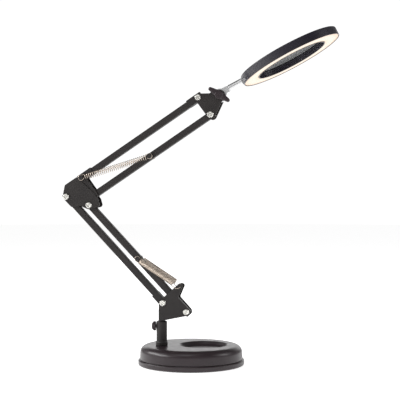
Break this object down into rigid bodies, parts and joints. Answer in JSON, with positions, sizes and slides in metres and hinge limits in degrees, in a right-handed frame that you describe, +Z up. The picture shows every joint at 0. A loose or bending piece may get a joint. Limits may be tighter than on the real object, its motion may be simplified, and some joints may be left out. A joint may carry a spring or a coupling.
{
  "type": "magnifying lamp",
  "caption": "Desk magnifying lamp: a lens inside a ring light on a spring-balanced double-bar arm that swivels on a weighted round base with a tool dish.",
  "frame": {"origin": "centre of the round base's underside, on the surface that it stands on", "axes": "+Z up; +X from the base towards the lamp head, in the plane of the arms; the arms' hinges turn about Y, and the knob and the screws' dished heads are on the -Y side"},
  "size_m": [0.4198, 0.1716, 0.5022],
  "materials": {
    "black_steel": "fine matte black powder coat",
    "black_plastic": "semi-gloss moulded black",
    "ring_plastic": "satin black with a slight blue cast",
    "nickel": "bright nickel plate",
    "spring_steel": "warm plated wire",
    "aluminium": "polished",
    "iron": "rough",
    "foam": "closed-cell foam",
    "nylon": "moulded",
    "opal": "opal, lit from behind",
    "board": "white solder mask",
    "glass": "polished"
  },
  "bodies": {
    "base": {"base_cover": "black_plastic", "foot_pad": "foam", "base_plate": "nickel", "base_weight": "iron", "base_rim": "black_plastic", "base_screw_1": "nickel", "base_screw_2": "nickel", "base_screw_3": "nickel", "post_socket": "black_steel", "socket_nut": "nickel"},
    "clamp": {"clamp_screw": "black_plastic"},
    "turret": {"turret_bracket": "black_steel", "spigot": "black_steel", "pivot_bolt_a": "nickel", "pivot_bolt_b": "nickel", "sleeve_a": "nylon", "sleeve_b": "nylon"},
    "lower_rear": {"lower_rear_bar": "black_steel", "lower_rear_saddle": "black_steel"},
    "lower_front": {"lower_front_bar": "black_steel", "lower_spring_peg": "black_steel", "lower_spring_front": "spring_steel", "lower_spring_rear": "spring_steel"},
    "elbow": {"elbow_cheek_front": "black_steel", "elbow_cheek_rear": "black_steel", "elbow_link_front": "black_steel", "elbow_link_rear": "black_steel", "pivot_bolt_c": "nickel", "pivot_bolt_d": "nickel", "sleeve_c": "nylon", "sleeve_d": "nylon", "elbow_pin": "nickel", "elbow_spring_pin": "black_steel", "sleeve_p": "nylon", "sleeve_q": "nylon"},
    "upper_top": {"upper_top_bar": "black_steel", "upper_saddle_elbow": "black_steel", "upper_saddle_head": "black_steel"},
    "upper_bottom": {"upper_bottom_bar": "black_steel", "upper_spring_peg": "black_steel", "upper_spring_front": "spring_steel", "upper_spring_rear": "spring_steel"},
    "head_bracket": {"head_cheek_front": "black_steel", "head_cheek_rear": "black_steel", "pivot_bolt_e": "nickel", "pivot_bolt_f": "nickel", "sleeve_e": "nylon", "sleeve_f": "nylon", "tilt_bolt": "nickel", "tilt_washer_front": "nylon", "tilt_washer_rear": "nylon"},
    "wing_knob": {"wing_knob": "black_plastic"},
    "head": {"tilt_lug": "aluminium", "stem_tube": "aluminium", "stem_screw": "nickel", "head_shell": "ring_plastic", "diffuser": "opal", "led_board": "board", "lens": "glass", "lens_retainer": "ring_plastic"}
  },
  "joints": [
    {"name": "clamp_turn", "type": "hinge", "parent": "base", "child": "clamp", "pos_m": [-0.04284, -0.0131, 0.059], "axis": [-1, 0, 0], "continuous": true},
    {"name": "swivel", "type": "hinge", "parent": "base", "child": "turret", "pos_m": [-0.04284, -0.0131, 0.0668], "axis": [0, 0, 1], "continuous": true},
    {"name": "lower_arm", "type": "hinge", "parent": "turret", "child": "lower_rear", "pos_m": [-0.0396, -0.0131, 0.0945], "axis": [0, -1, 0], "range_deg": [-55, 10]},
    {"name": "lower_front_pivot", "type": "hinge", "parent": "turret", "child": "lower_front", "pos_m": [-0.004, -0.0131, 0.0814], "axis": [0, -1, 0], "range_deg": [-55, 10], "deforming": ["lower_spring_front", "lower_spring_rear"]},
    {"name": "elbow_pivot", "type": "hinge", "parent": "lower_rear", "child": "elbow", "pos_m": [-0.18952, -0.0131, 0.25414], "axis": [0, -1, 0], "range_deg": [-10, 55]},
    {"name": "upper_arm", "type": "hinge", "parent": "elbow", "child": "upper_top", "pos_m": [-0.16507, -0.0131, 0.28271], "axis": [0, -1, 0], "range_deg": [-55, 45]},
    {"name": "upper_bottom_pivot", "type": "hinge", "parent": "elbow", "child": "upper_bottom", "pos_m": [-0.14637, -0.0131, 0.25686], "axis": [0, -1, 0], "range_deg": [-55, 45], "deforming": ["upper_spring_front", "upper_spring_rear"]},
    {"name": "head_level", "type": "hinge", "parent": "upper_top", "child": "head_bracket", "pos_m": [0.0138, -0.0131, 0.402], "axis": [0, -1, 0], "range_deg": [-45, 55]},
    {"name": "knob_turn", "type": "hinge", "parent": "head_bracket", "child": "wing_knob", "pos_m": [0.0464, -0.0131, 0.4049], "axis": [0, -1, 0], "continuous": true},
    {"name": "head_tilt", "type": "hinge", "parent": "head_bracket", "child": "head", "pos_m": [0.0464, -0.0131, 0.4049], "axis": [0, -1, 0], "range_deg": [-60, 50]}
  ],
  "couplings": [
    {"joint": "lower_front_pivot", "follows": "lower_arm", "ratio": 1},
    {"joint": "elbow_pivot", "follows": "lower_arm", "ratio": -1},
    {"joint": "upper_bottom_pivot", "follows": "upper_arm", "ratio": 1},
    {"joint": "head_level", "follows": "upper_arm", "ratio": -1}
  ]
}
